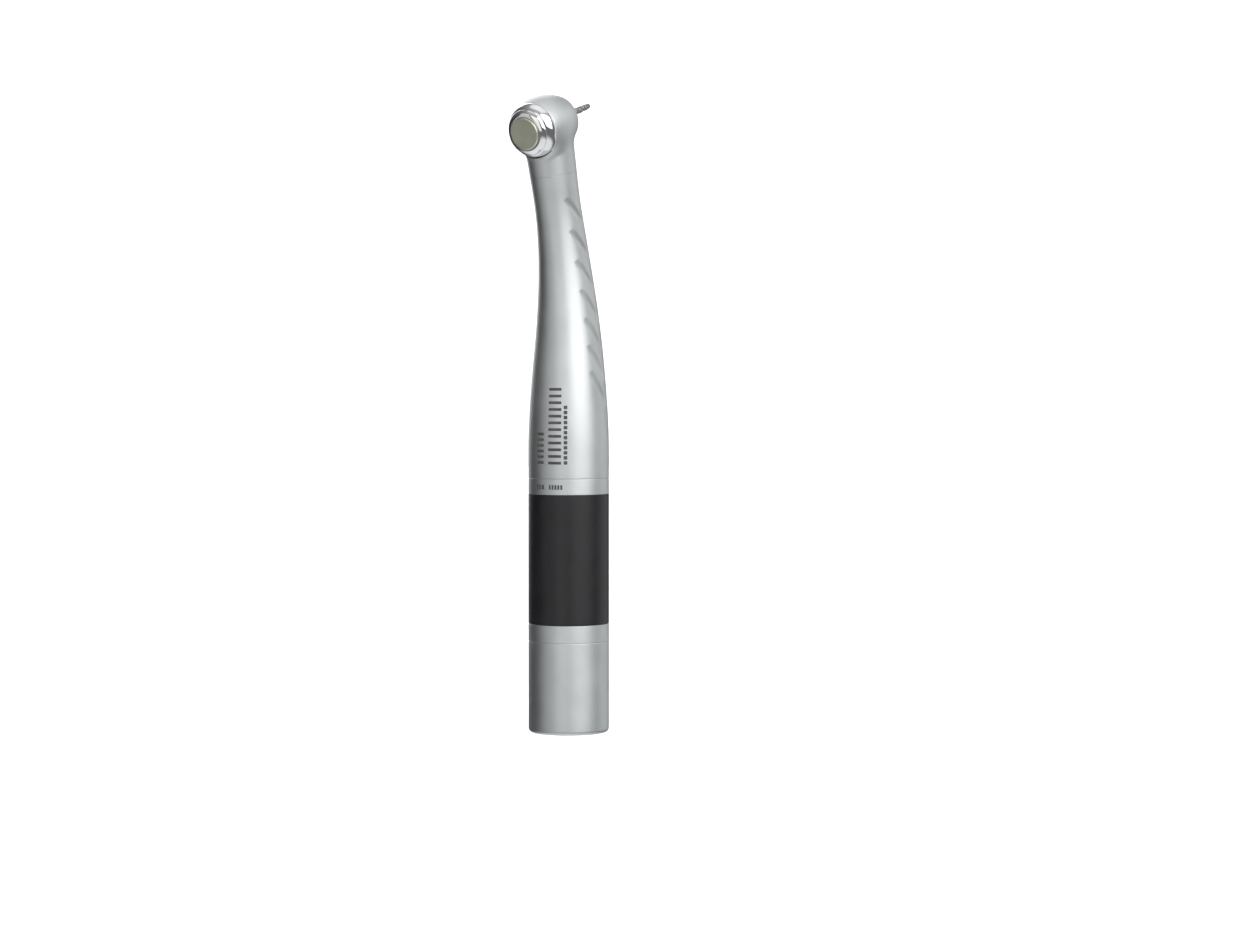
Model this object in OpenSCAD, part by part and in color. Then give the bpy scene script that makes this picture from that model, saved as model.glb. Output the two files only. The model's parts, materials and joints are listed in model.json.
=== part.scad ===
// High speed dental handpiece, in millimetres.
// The rear end face lies on the XY plane and the handle axis is +Z. The neck leans towards -X, the bur
// points towards +X and up, and XZ is the mirror plane of the outer shape.

/* [Handle] */
// Outside diameter of the parallel rear part
handle_d = 15.7; // [15.5:0.1:15.9]
// Height of the top of the rear sleeve
sleeve_top = 17.8; // [17.2:0.1:18.4]
// Height of the bottom of the black grip band
band_bottom = 21.2; // [20.6:0.1:21.8]
// Height of the top of the black grip band
band_top = 46.4; // [45.8:0.1:47]
// Height of the bottom of the tapered handle shell
shell_bottom = 49.5; // [49:0.1:50]
// Depth of the fine bevel on each edge where two sleeves meet
joint_bevel = 0.12; // [0.05:0.01:0.2]
// Radius of the rounded rear edge
rear_edge_r = 0.8; // [0.4:0.1:1]
// Wall of the tapered handle shell
shell_wall = 0.95; // [0.8:0.05:1]

/* [Bend and neck] */
// Lean of the neck away from the handle axis, in degrees
lean = 13.5; // [12:0.5:15]
// Height at which the bend starts
bend_start = 72.8; // [72:0.1:74]
// Radius of the bend's centreline
bend_r = 120; // [115:1:124]
// Straight neck from the end of the bend to the head's axis
neck_len = 17.1; // [16.7:0.1:17.5]
// Distance below the head's axis at which the neck joins the handle shell
neck_joint = 9.5; // [9:0.1:10]
// Neck size in the plane of the bend
neck_depth = 9.8; // [9.6:0.1:10.2]
// Neck size across the plane of the bend
neck_width = 8.3; // [8.2:0.1:8.8]
// How much wider the neck's radius grows towards the head
neck_flare = 0.35; // [0:0.05:0.5]
// Distance along the centreline at which the taper starts
taper_start = 54; // [53:0.5:56]
// Distance along the centreline at which the taper ends
taper_end = 105; // [103:0.5:106]

/* [Grip grooves] */
// Grooves on each flank
groove_count = 7; // [5:1:7]
// Centreline distance of the lowest groove's middle
groove_start = 66.8; // [66:0.1:68]
// Distance between the two lowest grooves
groove_pitch = 5; // [4.8:0.1:5.1]
// How much further apart each next pair of grooves is
groove_growth = 0.22; // [0.1:0.01:0.25]
// Depth of a groove at its middle
groove_depth = 0.4; // [0.2:0.05:0.45]
// Radius of the groove's round section
groove_r = 0.8; // [0.6:0.05:1]
// Slant of the grooves, in degrees
groove_slant = 45; // [40:1:50]

/* [Head] */
// Lift of the bur above the horizontal, in degrees
head_lift = 17.5; // [16:0.5:19]
// Distance from the neck's axis to the front face of the head
face_ahead = 4.6; // [4.4:0.1:4.8]
// Distance from the front face back to the push button's face
head_len = 12.4; // [12.3:0.1:12.5]
// Radius of the head at its front edge
face_r = 4.55; // [4.4:0.05:4.6]
// Largest radius of the barrel shaped head
head_r = 5.75; // [5.6:0.05:5.8]
// Distance behind the front face at which the head is widest
widest = 5.8; // [5.6:0.1:6]
// Distance behind the front face at which the back cap starts
cap_start = 9.2; // [9.1:0.05:9.3]
// Radius of the front face plate
plate_r = 4.1; // [4:0.05:4.15]
// Thickness of the front face plate
plate_t = 0.75; // [0.7:0.05:0.8]
// Radius of each spray hole
spray_r = 0.18; // [0.15:0.01:0.25]
// Radius of the circle of spray holes
spray_circle = 3.3; // [3.2:0.05:3.4]

/* [Push button] */
// Radius of the button's face
button_r = 3.1; // [3.05:0.05:3.15]
// Travel of the button
button_travel = 0.6; // [0.4:0.05:0.6]

/* [Turbine] */
// Bore radius of the bearings
bearing_bore_r = 1.5875; // [1.58:0.0005:1.6]
// Outside radius of the bearings
bearing_r = 3.175; // [3.15:0.005:3.2]
// Width of the bearings
bearing_w = 2.38; // [2.3:0.01:2.4]
// Balls in each bearing
ball_count = 7; // [6:1:7]
// Blades on the impeller
blade_count = 10; // [8:1:12]
// Outside radius of the impeller
impeller_r = 4.1; // [4:0.05:4.15]

/* [Bur] */
// Radius of the bur's shank
shank_r = 0.8; // [0.79:0.001:0.8]
// Length of the bur in front of the head
bur_out = 10.6; // [9:0.1:11]

/* [Coupler socket] */
// Radius of the socket's mouth bore
mouth_r = 6; // [5.9:0.05:6.1]
// Length of the socket's mouth bore
mouth_len = 12; // [11:0.5:13]
// Radius of the socket's inner bore
pilot_r = 5; // [4.9:0.05:5.05]
// Height of the inner end of the socket
socket_end = 29; // [28:0.5:30]

/* [Hidden] */
$fn = 96;
eps = 0.01;

handle_r = handle_d / 2;
core_r = 6.95;         // outside of the socket core, which all the sleeves slide onto
core_top = 56;         // the core's upper end, inside the handle shell
chamber_r = 5.6;       // bore of the core above the socket, which holds the manifold
seal_drop = 3;         // distance of the core's O-ring below its upper end
lock_groove_z = 19.6;  // groove of the coupler's lock ring
lock_groove_w = 0.9;
lock_groove_r = 5.5;
gasket_t = 1;
gasket_bore_r = 4.7;
manifold_t = 8;
nut_t = 3;
tube_seat = 3;         // how deep each tube sits in the manifold
mouth_bevel = 0.3;

bend_len = bend_r * lean * PI / 180;
axis_s = bend_start + bend_len + neck_len; // centreline distance of the head's axis
joint_s = axis_s - neck_joint;
flare_start = 101;

// Ports in the manifold and where each line lies in the neck, as [x, y] from the centreline
drive_port = [-2.9, 0];
water_port = [0.6, 2.9];
chip_air_port = [0.6, -2.9];
light_port = [2.6, 0];
exhaust_port = [0, 0];
drive_lane = [-1.7, 0];
water_lane = [0.4, 1.9];
chip_air_lane = [0.4, -1.9];
light_lane = [2.0, 0];
drive_tube_r = 1.05;
small_tube_r = 0.5;
tube_wall = 0.15;
rod_r = 0.85;
exhaust_r = 1.5;
merge_start = 45;      // centreline distances between which the lines move from port to lane
merge_end = 96;

// Flat on the underside of the neck: distances below the head's axis, and how far ahead of the neck's
// axis the flat lies
chin_drop = 4.7;
window_drop = 8;
tongue_drop = 14.4;
window_ahead = 3.55;
tongue_lean = atan((neck_depth / 2 - window_ahead) / (tongue_drop - window_drop));
window_r = 0.65;
window_t = 0.5;
window_mid = 6.75;

// Depths behind the head's front face
nose_back = 1.6;       // inner face of the front wall
shoulder_relief = 0.25; // the front wall stands back from the spinning inner ring by this
front_bearing_back = nose_back + bearing_w;
rear_bearing_front = 7.35;
rear_bearing_back = rear_bearing_front + bearing_w;
chamber_back = 7.2;    // where the turbine chamber meets the cap's skirt
washer_t = 0.25;
floor_t = 0.32;
floor_back = rear_bearing_back + washer_t + floor_t;
flange_t = 0.35;
press_gap = 0.08;       // room left between the button's flange and the floor when pressed
lip_front = floor_back + button_travel + flange_t + press_gap;
cap_back = 12.02;
stem_back = 10.57;
spindle_front = 0.3;
spindle_back = 9.95;
bur_back = 8.9;
collet_front = 0.5;
collet_back = 9.15;
plunger_nose = 9.4;
plunger_flange = 9.62;
plunger_flange_t = 0.16;
plunger_back = 10.35;

bearing_fit = 0.125;   // radial gap that the rings' O-rings bridge
o_ring_r = 0.25;
o_ring_mid = bearing_r + 0.02 + o_ring_r;
o_ring_groove_w = 0.62;
chamber_wall_r = 4.35;
thread_r = 4.53;
ball_r = 0.5;
ball_circle = 2.38;
race_r = 0.53;
inner_ring_r = 2.0;
outer_ring_r = 2.76;
cage_in = 2.12;
cage_out = 2.64;
cage_w = 1.6;
shield_t = 0.15;
spindle_bore = 1.12;
collet_r = 1.1;
collet_bore = 0.815;
plate_bore = 1.65;
nose_r = 1.35;
spray_groove = [2.85, 3.7];
spray_groove_t = 0.4;

// Bur: distances in front of the head's front face
cutter_start = 2.2;
tip_len = 1.6;
cutter_tip_r = 0.6;
flute_count = 8;
flute_depth = 0.13;

// The barrel is an arc of this radius, from the front edge to the back cap
nose_edge = 0.35;
barrel_rise = head_r - face_r;
barrel_run = widest - nose_edge;
barrel_bow = (barrel_rise * barrel_rise + barrel_run * barrel_run) / (2 * barrel_rise);
cap_r = head_r - barrel_bow + sqrt(barrel_bow * barrel_bow - (cap_start - widest) * (cap_start - widest));

// Colours
satin = [0.72, 0.74, 0.73];
chrome = [0.86, 0.87, 0.87];
black = [0.15, 0.15, 0.16];
steel = [0.62, 0.63, 0.64];
brass = [0.78, 0.66, 0.36];
rubber = [0.08, 0.08, 0.08];
glass = [0.80, 0.88, 0.92];
cage_brown = [0.48, 0.30, 0.16];
carbide = [0.42, 0.42, 0.43];

function smooth(t) = let (u = max(0, min(1, t))) u * u * (3 - 2 * u);
function mix(a, b, t) = a + (b - a) * t;
function arc(c, r, from, to, steps) = [
    for (i = [0 : steps]) let (a = mix(from, to, i / steps)) c + r * [cos(a), sin(a)]
];

// The centreline: straight, then an arc, then straight again
function lean_at(s) = max(0, min(lean, (s - bend_start) / bend_r * 180 / PI));
function spine(s) = let (a = lean_at(s), past = max(0, s - bend_start - bend_len)) [
    -bend_r * (1 - cos(a)) - past * sin(a),
    0,
    min(s, bend_start) + bend_r * sin(a) + past * cos(a)
];
// A point beside the centreline: x in the plane of the bend, y across it
function beside(s, p) = let (a = lean_at(s)) spine(s) + [p[0] * cos(a), p[1], p[0] * sin(a)];
function taper_at(s) = smooth((s - taper_start) / (taper_end - taper_start));
function flare_at(s) = neck_flare * smooth((s - flare_start) / (axis_s - flare_start));
function depth_at(s) = mix(handle_r, neck_depth / 2, taper_at(s)) + flare_at(s);
function width_at(s) = mix(handle_r, neck_width / 2, taper_at(s)) + flare_at(s);
function body_ring(s, inset, sides) = [
    for (i = [0 : sides - 1]) let (b = 360 * i / sides)
        beside(s, [(depth_at(s) - inset) * cos(b), (width_at(s) - inset) * sin(b)])
];
function lane_at(s, port, lane) = mix(port, lane, smooth((s - merge_start) / (merge_end - merge_start)));

// A closed solid through a list of rings that all have the same number of points
module skin(rings) {
    sides = len(rings[0]);
    last = len(rings) - 1;
    walls = [
        for (j = [0 : last - 1], i = [0 : sides - 1]) let (k = (i + 1) % sides)
            [j * sides + i, (j + 1) * sides + i, (j + 1) * sides + k, j * sides + k]
    ];
    first_cap = [for (i = [0 : sides - 1]) i];
    last_cap = [for (i = [0 : sides - 1]) last * sides + sides - 1 - i];
    polyhedron([for (r = rings) for (p = r) p], concat([first_cap], walls, [last_cap]));
}

// The body's own shape between two centreline distances, shrunk by inset
module body_sweep(from, to, inset, steps, sides) {
    skin([for (j = [0 : steps]) body_ring(mix(from, to, j / steps), inset, sides)]);
}

// A round line that follows the centreline from the manifold to the neck
module lane_sweep(from, to, r, port, lane, steps = 24, sides = 12) {
    skin([
        for (j = [0 : steps]) let (s = mix(from, to, j / steps), c = lane_at(s, port, lane))
            [for (i = [0 : sides - 1]) beside(s, c + r * [cos(360 * i / sides), sin(360 * i / sides)])]
    ]);
}

// Origin on the neck's axis at the head's axis, +Z up the neck, +X along the bur
module at_neck() {
    translate(spine(axis_s)) rotate([0, -lean, 0]) children();
}

// Origin at the middle of the head's front face, +Z along the bur, +X down the neck
module at_face() {
    translate(spine(axis_s)) rotate([0, 90 - head_lift, 0]) translate([0, 0, face_ahead]) children();
}

// A tube about +Z between two heights
module tube(z0, z1, r_out, r_in) {
    rotate_extrude() translate([r_in, z0]) square([r_out - r_in, z1 - z0]);
}

// A tube in the head between two depths behind the front face
module head_tube(front, back, r_out, r_in) {
    at_face() tube(-back, -front, r_out, r_in);
}

module head_rod(front, back, r) {
    at_face() translate([0, 0, -back]) cylinder(h = back - front, r = r);
}

module head_torus(depth, mid_r, r) {
    at_face() translate([0, 0, -depth]) rotate_extrude() translate([mid_r, 0]) circle(r = r, $fn = 48);
}

// One outer sleeve of the handle, with a fine bevel on each outer edge
module sleeve(z0, z1) {
    rotate_extrude() polygon([
        [core_r, z0], [handle_r - joint_bevel, z0], [handle_r, z0 + joint_bevel],
        [handle_r, z1 - joint_bevel], [handle_r - joint_bevel, z1], [core_r, z1]
    ]);
}

// The flat that is cut across the underside of the neck, with a step for the light window at its top
module neck_flat() {
    width = 20;
    rim = neck_depth / 2 + 1;
    at_neck() rotate([90, 0, 0]) linear_extrude(height = width, center = true) polygon([
        [window_ahead, -chin_drop], [rim, -chin_drop],
        [rim, -tongue_drop - 1 / tan(tongue_lean)], [window_ahead, -window_drop]
    ]);
}

// One slanted groove cutter on the flank given by side, at centreline distance s
module groove_cutter(s, side) {
    reach = 3.6;
    sink = groove_r - groove_depth;
    run = reach * [cos(groove_slant), -sin(groove_slant)];
    mid = side * (width_at(s) + sink);
    hull() {
        translate(beside(s - run[1], [-run[0], mid])) sphere(r = groove_r, $fn = 16);
        translate(beside(s + run[1], [run[0], mid])) sphere(r = groove_r, $fn = 16);
    }
}

module rear_sleeve() {
    color(satin) rotate_extrude() polygon(concat(
        [[core_r, 0]],
        arc([handle_r - rear_edge_r, rear_edge_r], rear_edge_r, -90, 0, 8),
        [[handle_r, sleeve_top - joint_bevel], [handle_r - joint_bevel, sleeve_top], [core_r, sleeve_top]]
    ));
}

module rear_collar() {
    color(satin) sleeve(sleeve_top, band_bottom);
}

module grip_band() {
    color(black) sleeve(band_bottom, band_top);
}

module front_collar() {
    color(satin) sleeve(band_top, shell_bottom);
}

module handle_shell() {
    bore_r = core_r + 0.02;
    lead_in = 0.8;
    lead_in_len = 3;
    color(satin) difference() {
        body_sweep(shell_bottom, joint_s, 0, 36, 56);
        body_sweep(core_top + 2, joint_s + 1, shell_wall, 16, 28);
        translate([0, 0, shell_bottom - 1]) cylinder(h = core_top - shell_bottom + 1, r = bore_r, $fn = 64);
        translate([0, 0, core_top - eps])
            cylinder(h = lead_in_len, r1 = bore_r, r2 = bore_r - lead_in, $fn = 64);
        neck_flat();
        for (side = [-1, 1], i = [0 : groove_count - 1])
            groove_cutter(groove_start + groove_pitch * i + groove_growth / 2 * i * i, side);
    }
}

module socket_core() {
    seal_groove_r = core_r - 0.5;
    color(steel) difference() {
        cylinder(h = core_top, r = core_r);
        translate([0, 0, -eps])
            cylinder(h = mouth_bevel + 2 * eps, r1 = mouth_r + mouth_bevel, r2 = mouth_r);
        translate([0, 0, -1]) cylinder(h = mouth_bevel + mouth_len + 1, r = mouth_r);
        cylinder(h = socket_end, r = pilot_r);
        translate([0, 0, lock_groove_z]) cylinder(h = lock_groove_w, r = lock_groove_r);
        translate([0, 0, socket_end]) cylinder(h = core_top, r = chamber_r);
        tube(core_top - seal_drop - 0.4, core_top - seal_drop + 0.4, core_r + 1, seal_groove_r);
    }
}

module socket_lock_ring() {
    gap = 1.2;
    play = 0.05;
    color(chrome) difference() {
        tube(lock_groove_z + play, lock_groove_z + lock_groove_w - play, lock_groove_r, pilot_r + 0.03);
        translate([0, -gap / 2, lock_groove_z - 1]) cube([10, gap, lock_groove_w + 2]);
    }
}

module manifold_gasket() {
    color(rubber) tube(socket_end, socket_end + gasket_t, chamber_r, gasket_bore_r);
}

module manifold_port(port, r) {
    translate([port[0], port[1], socket_end]) cylinder(h = gasket_t + manifold_t + 1, r = r);
}

module manifold_seat(port, r) {
    top = socket_end + gasket_t + manifold_t;
    translate([port[0], port[1], top - tube_seat]) cylinder(h = tube_seat + 1, r = r);
}

module manifold() {
    color(brass) difference() {
        translate([0, 0, socket_end + gasket_t]) cylinder(h = manifold_t, r = chamber_r);
        manifold_port(drive_port, drive_tube_r - tube_wall);
        manifold_port(water_port, small_tube_r - tube_wall);
        manifold_port(chip_air_port, small_tube_r - tube_wall);
        manifold_port(light_port, rod_r + 0.02);
        manifold_port(exhaust_port, exhaust_r);
        manifold_seat(drive_port, drive_tube_r + 0.02);
        manifold_seat(water_port, small_tube_r + 0.02);
        manifold_seat(chip_air_port, small_tube_r + 0.02);
    }
}

module manifold_nut() {
    z0 = socket_end + gasket_t + manifold_t;
    slot_w = 1.2;
    color(steel) difference() {
        tube(z0, z0 + nut_t, chamber_r, 4.1);
        translate([-10, -slot_w / 2, z0 + nut_t - 1]) cube([20, slot_w, 2]);
    }
}

module core_o_ring() {
    ring_r = 0.24;
    color(rubber) translate([0, 0, core_top - seal_drop]) rotate_extrude()
        translate([core_r - ring_r - 0.02, 0]) circle(r = ring_r, $fn = 48);
}

module hollow_line(port, lane, r, end_s) {
    from = socket_end + gasket_t + manifold_t - tube_seat;
    difference() {
        lane_sweep(from, end_s, r, port, lane);
        lane_sweep(from - 1, end_s + 1, r - tube_wall, port, lane);
    }
}

module drive_air_tube() {
    color(steel) hollow_line(drive_port, drive_lane, drive_tube_r, axis_s - 7.6);
}

module water_tube() {
    color(steel) hollow_line(water_port, water_lane, small_tube_r, axis_s - 7.2);
}

module chip_air_tube() {
    color(steel) hollow_line(chip_air_port, chip_air_lane, small_tube_r, axis_s - 7.2);
}

// The rod runs up the neck and turns towards the window
module light_rod() {
    sides = 16;
    turn_r = window_ahead - window_t - light_lane[0];
    turn_s = axis_s - window_mid - turn_r;
    from = socket_end + gasket_t;
    steps = 28;
    turn_steps = 8;
    color(glass) skin(concat(
        [
            for (j = [0 : steps]) let (
                s = mix(from, turn_s, j / steps),
                c = lane_at(s, light_port, light_lane)
            )
                [for (i = [0 : sides - 1]) let (b = 360 * i / sides)
                    beside(s, c + rod_r * [cos(b), sin(b)])]
        ],
        [
            for (j = [1 : turn_steps]) let (
                t = 90 * j / turn_steps,
                r = mix(rod_r, window_r, j / turn_steps),
                c = light_lane[0] + turn_r * (1 - cos(t)),
                up = turn_s + turn_r * sin(t)
            )
                [for (i = [0 : sides - 1]) let (b = 360 * i / sides)
                    beside(up - r * cos(b) * sin(t), [c + r * cos(b) * cos(t), r * sin(b)])]
        ]
    ));
}

module light_window() {
    color(glass) at_neck() translate([window_ahead - window_t, 0, -window_mid]) rotate([0, 90, 0])
        cylinder(h = window_t, r = window_r);
}

// Half outline of the head's barrel, from the front edge to the cap, as [radius, depth]
function barrel_curve() = arc(
    [head_r - barrel_bow, -widest], barrel_bow,
    asin(barrel_run / barrel_bow), -asin((cap_start - widest) / barrel_bow), 24
);

// Room for the O-ring round the bearing whose front face is at a depth
module o_ring_groove(front) {
    mid = front + bearing_w / 2;
    head_tube(mid - o_ring_groove_w / 2, mid + o_ring_groove_w / 2, o_ring_mid + o_ring_r + 0.02, 1);
}

module head_barrel() {
    rotate_extrude() polygon(concat([[0, 0], [plate_r + 0.1, 0]], barrel_curve(), [[0, -cap_start]]));
}

module head_housing() {
    neck_bore = 2.85;
    neck_bore_top = 7;      // distances below the head's axis
    passage_bottom = 8;
    spigot_r = 3.25;
    spigot_len = 4;
    rod_room = 1.2;
    color(satin) difference() {
        union() {
            difference() {
                union() {
                    body_sweep(joint_s, axis_s - 1, 0, 5, 48);
                    at_neck() translate([0, 0, -neck_joint - spigot_len]) cylinder(h = 6, r = spigot_r);
                }
                neck_flat();
            }
            at_face() head_barrel();
        }
        head_rod(-1, nose_back + 1, plate_bore + 0.05);
        head_rod(-1, plate_t, plate_r);
        head_rod(cap_start, cap_back, cap_r + 0.05);
        head_tube(plate_t - eps, plate_t + spray_groove_t, spray_groove[1], spray_groove[0]);
        head_rod(nose_back - shoulder_relief, nose_back + 1, inner_ring_r + 0.5);
        head_rod(nose_back, front_bearing_back + 0.2, bearing_r + bearing_fit);
        o_ring_groove(nose_back);
        head_rod(front_bearing_back + 0.1, chamber_back, chamber_wall_r);
        head_rod(chamber_back - eps, cap_start + 1, thread_r);
        // Hollow neck, and the air, water and exhaust passages
        at_neck() {
            translate([0, 0, -neck_joint - spigot_len - 1])
                cylinder(h = neck_joint + spigot_len + 1 - neck_bore_top, r = neck_bore);
            translate([drive_lane[0], 0, -passage_bottom]) cylinder(h = 3, r = 0.7);
            translate([-0.2, 1.3, -passage_bottom]) cylinder(h = 4, r = 0.75);
            translate([window_ahead - window_t - 0.2, 0, -window_mid]) rotate([0, 90, 0])
                cylinder(h = 3, r = window_r);
            translate([rod_room, 0, -window_mid]) rotate([0, 90, 0])
                cylinder(h = window_ahead - rod_room - 0.3, r = window_r + 0.25);
            for (side = [-1, 1]) translate([water_lane[0], side * water_lane[1], -passage_bottom])
                rotate([0, 46, 0]) cylinder(h = 5.2, r = 0.28);
        }
    }
}

module face_plate() {
    color(satin) difference() {
        head_tube(0, plate_t, plate_r, plate_bore);
        at_face() for (a = [60, 180, 300]) rotate([0, 0, a]) translate([spray_circle, 0, -plate_t - 1])
            cylinder(h = plate_t + 2, r = spray_r);
    }
}

// Two crowned bands with a fine groove between them, and a thin rim round the button
module back_cap() {
    edge_r = cap_r - joint_bevel;
    wide_band_r = 2.3;
    wide_band_turn = 47.6;
    ridge_depth = 11.2;
    ridge_r = 4.42;
    narrow_band_r = 1.75;
    color(chrome) difference() {
        at_face() rotate_extrude() polygon(concat(
            [[0, -chamber_back], [thread_r, -chamber_back], [thread_r, -cap_start], [edge_r, -cap_start]],
            arc([cap_r - wide_band_r, -cap_start - joint_bevel], wide_band_r, 0, -wide_band_turn, 10),
            [[ridge_r - 0.06, -ridge_depth + 0.12]],
            arc([ridge_r - narrow_band_r * cos(30), -ridge_depth + narrow_band_r * sin(30)],
                narrow_band_r, -30, -74, 8),
            [[0, -cap_back]]
        ));
        head_rod(chamber_back - 1, rear_bearing_back + washer_t, bearing_r + bearing_fit);
        o_ring_groove(rear_bearing_front);
        head_rod(rear_bearing_back, floor_back + 1, 2);
        head_rod(floor_back, lip_front, 3.75);
        head_rod(lip_front - 1, cap_back + 1, button_r + 0.07);
    }
}

module outer_ring(front) {
    difference() {
        head_tube(front, front + bearing_w, bearing_r, outer_ring_r);
        head_torus(front + bearing_w / 2, ball_circle, race_r);
    }
}

module inner_ring(front) {
    difference() {
        head_tube(front, front + bearing_w, inner_ring_r, bearing_bore_r);
        head_torus(front + bearing_w / 2, ball_circle, race_r);
    }
}

module balls(front) {
    for (i = [0 : ball_count - 1])
        at_face() translate([0, 0, -front - bearing_w / 2]) rotate([0, 0, 360 * i / ball_count])
            translate([ball_circle, 0, 0]) sphere(r = ball_r, $fn = 48);
}

module ball_cage(front) {
    mid = front + bearing_w / 2;
    difference() {
        head_tube(mid - cage_w / 2, mid + cage_w / 2, cage_out, cage_in);
        at_face() translate([0, 0, -mid]) for (i = [0 : ball_count - 1]) rotate([0, 0, 360 * i / ball_count])
            translate([cage_in - 0.3, 0, 0]) rotate([0, 90, 0]) cylinder(h = 1.2, r = race_r);
    }
}

module front_outer_ring() { color(steel) outer_ring(nose_back); }

module rear_outer_ring() { color(steel) outer_ring(rear_bearing_front); }

module front_inner_ring() { color(steel) inner_ring(nose_back); }

module rear_inner_ring() { color(steel) inner_ring(rear_bearing_front); }

module front_bearing_shield() {
    color(chrome) head_tube(nose_back, nose_back + shield_t, outer_ring_r, inner_ring_r + 0.06);
}

module rear_bearing_shield() {
    color(chrome)
        head_tube(rear_bearing_back - shield_t, rear_bearing_back, outer_ring_r, inner_ring_r + 0.06);
}

module front_ball_cage() { color(cage_brown) ball_cage(nose_back); }

module rear_ball_cage() { color(cage_brown) ball_cage(rear_bearing_front); }

module front_balls() { color(chrome) balls(nose_back); }

module rear_balls() { color(chrome) balls(rear_bearing_front); }

module bearing_o_ring(front) {
    head_torus(front + bearing_w / 2, o_ring_mid, o_ring_r);
}

module front_o_ring() { color(rubber) bearing_o_ring(nose_back); }

module rear_o_ring() { color(rubber) bearing_o_ring(rear_bearing_front); }

// A thin ring with three waves that presses on the rear bearing
module preload_washer() {
    steps = 48;
    waves = 3;
    metal = 0.1;
    lift = washer_t - metal;
    rings = [for (i = [0 : steps - 1]) let (a = 360 * i / steps, z = lift / 2 * (1 + cos(waves * a)))
        for (p = [[2.3, 0], [3.1, 0], [3.1, metal], [2.3, metal]]) [p[0] * cos(a), p[0] * sin(a), z + p[1]]];
    faces = [for (i = [0 : steps - 1], k = [0 : 3]) let (n = (i + 1) % steps, m = (k + 1) % 4)
        [4 * i + k, 4 * i + m, 4 * n + m, 4 * n + k]];
    color(steel) at_face() translate([0, 0, -rear_bearing_back - washer_t]) polyhedron(rings, faces);
}

module push_button() {
    face_edge = 0.18;
    color(chrome) difference() {
        at_face() rotate_extrude() polygon([
            [0, -stem_back], [0.8, -stem_back], [0.8, -lip_front + flange_t], [3.6, -lip_front + flange_t],
            [3.6, -lip_front], [button_r, -lip_front], [button_r, -head_len + face_edge],
            [button_r - face_edge, -head_len], [0, -head_len]
        ]);
        at_face() translate([0, 0, -lip_front]) tube(-0.4, flange_t + eps, 2.6, 0.8);
    }
}

// A conical wire spring between the cap's floor and the button
module button_spring() {
    wire = 0.1;
    turns = 2.5;
    steps = 60;
    sides = 8;
    bottom = -lip_front + flange_t + wire;
    top = -floor_back - wire;
    rings = [for (j = [0 : steps]) let (
        t = j / steps, a = 360 * turns * t, r = mix(3.45, 2.75, t), z = mix(bottom, top, t)
    ) [for (i = [0 : sides - 1]) let (b = 360 * i / sides, q = r + wire * cos(b))
        [q * cos(a), q * sin(a), z + wire * sin(b)]]];
    color(steel) at_face() skin(rings);
}

module spindle() {
    color(steel) difference() {
        at_face() rotate_extrude() polygon([
            [0, -spindle_back], [bearing_bore_r, -spindle_back], [bearing_bore_r, -nose_back + 0.25],
            [nose_r, -nose_back + 0.25], [nose_r, -spindle_front - 0.15], [nose_r - 0.15, -spindle_front],
            [0, -spindle_front]
        ]);
        head_rod(-1, spindle_back + 1, spindle_bore);
    }
}

// One curved blade, drawn at its own angle about the spindle
module blade() {
    cup_r = 1.5;
    difference() {
        translate([1.9, -0.3]) square([impeller_r - 1.95, 0.9]);
        translate([impeller_r - 0.5, -cup_r + 0.12]) circle(r = cup_r);
    }
}

module impeller() {
    hub_front = front_bearing_back;
    hub_back = rear_bearing_front;
    color(brass) difference() {
        at_face() union() {
            translate([0, 0, -hub_back]) cylinder(h = hub_back - hub_front, r = 1.95);
            translate([0, 0, -6.95]) linear_extrude(height = 2.6) intersection() {
                circle(r = impeller_r);
                union() {
                    circle(r = 2.3);
                    for (i = [0 : blade_count - 1]) rotate(360 * i / blade_count) blade();
                }
            }
        }
        head_rod(hub_front - 1, hub_back + 1, bearing_bore_r);
    }
}

module chuck_collet() {
    slot_w = 0.2;
    slot_front = 5.2;
    color(steel) difference() {
        head_tube(collet_front, collet_back, spindle_bore, collet_bore);
        at_face() for (a = [0, 120, 240]) rotate([0, 0, a])
            translate([0.5, -slot_w / 2, -collet_back - 1]) cube([1, slot_w, collet_back + 1 - slot_front]);
    }
}

module plunger_stop_ring() {
    color(chrome) head_tube(plunger_flange + plunger_flange_t + 0.02, spindle_back, spindle_bore, 0.68);
}

module chuck_plunger() {
    flange_back = plunger_flange + plunger_flange_t;
    color(steel) at_face() rotate_extrude() polygon([
        [0, -plunger_back], [0.5, -plunger_back], [0.6, -plunger_back + 0.1], [0.6, -flange_back],
        [1.04, -flange_back], [1.04, -plunger_flange], [0.55, -plunger_flange], [0.35, -plunger_nose],
        [0, -plunger_nose]
    ]);
}

module bur_shank() {
    color(chrome) at_face() translate([0, 0, -bur_back])
        cylinder(h = bur_back + cutter_start, r = shank_r);
}

// One ring of the cutter's surface, with the flutes cut to a share of their full depth
function flute_ring(r, share, z, turn, sides) = [
    for (i = [0 : sides - 1]) let (
        b = 360 * i / sides,
        q = r - share * flute_depth * (1 + cos(flute_count * b)) / 2
    )
        [q * cos(b + turn), q * sin(b + turn), z]
];

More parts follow.
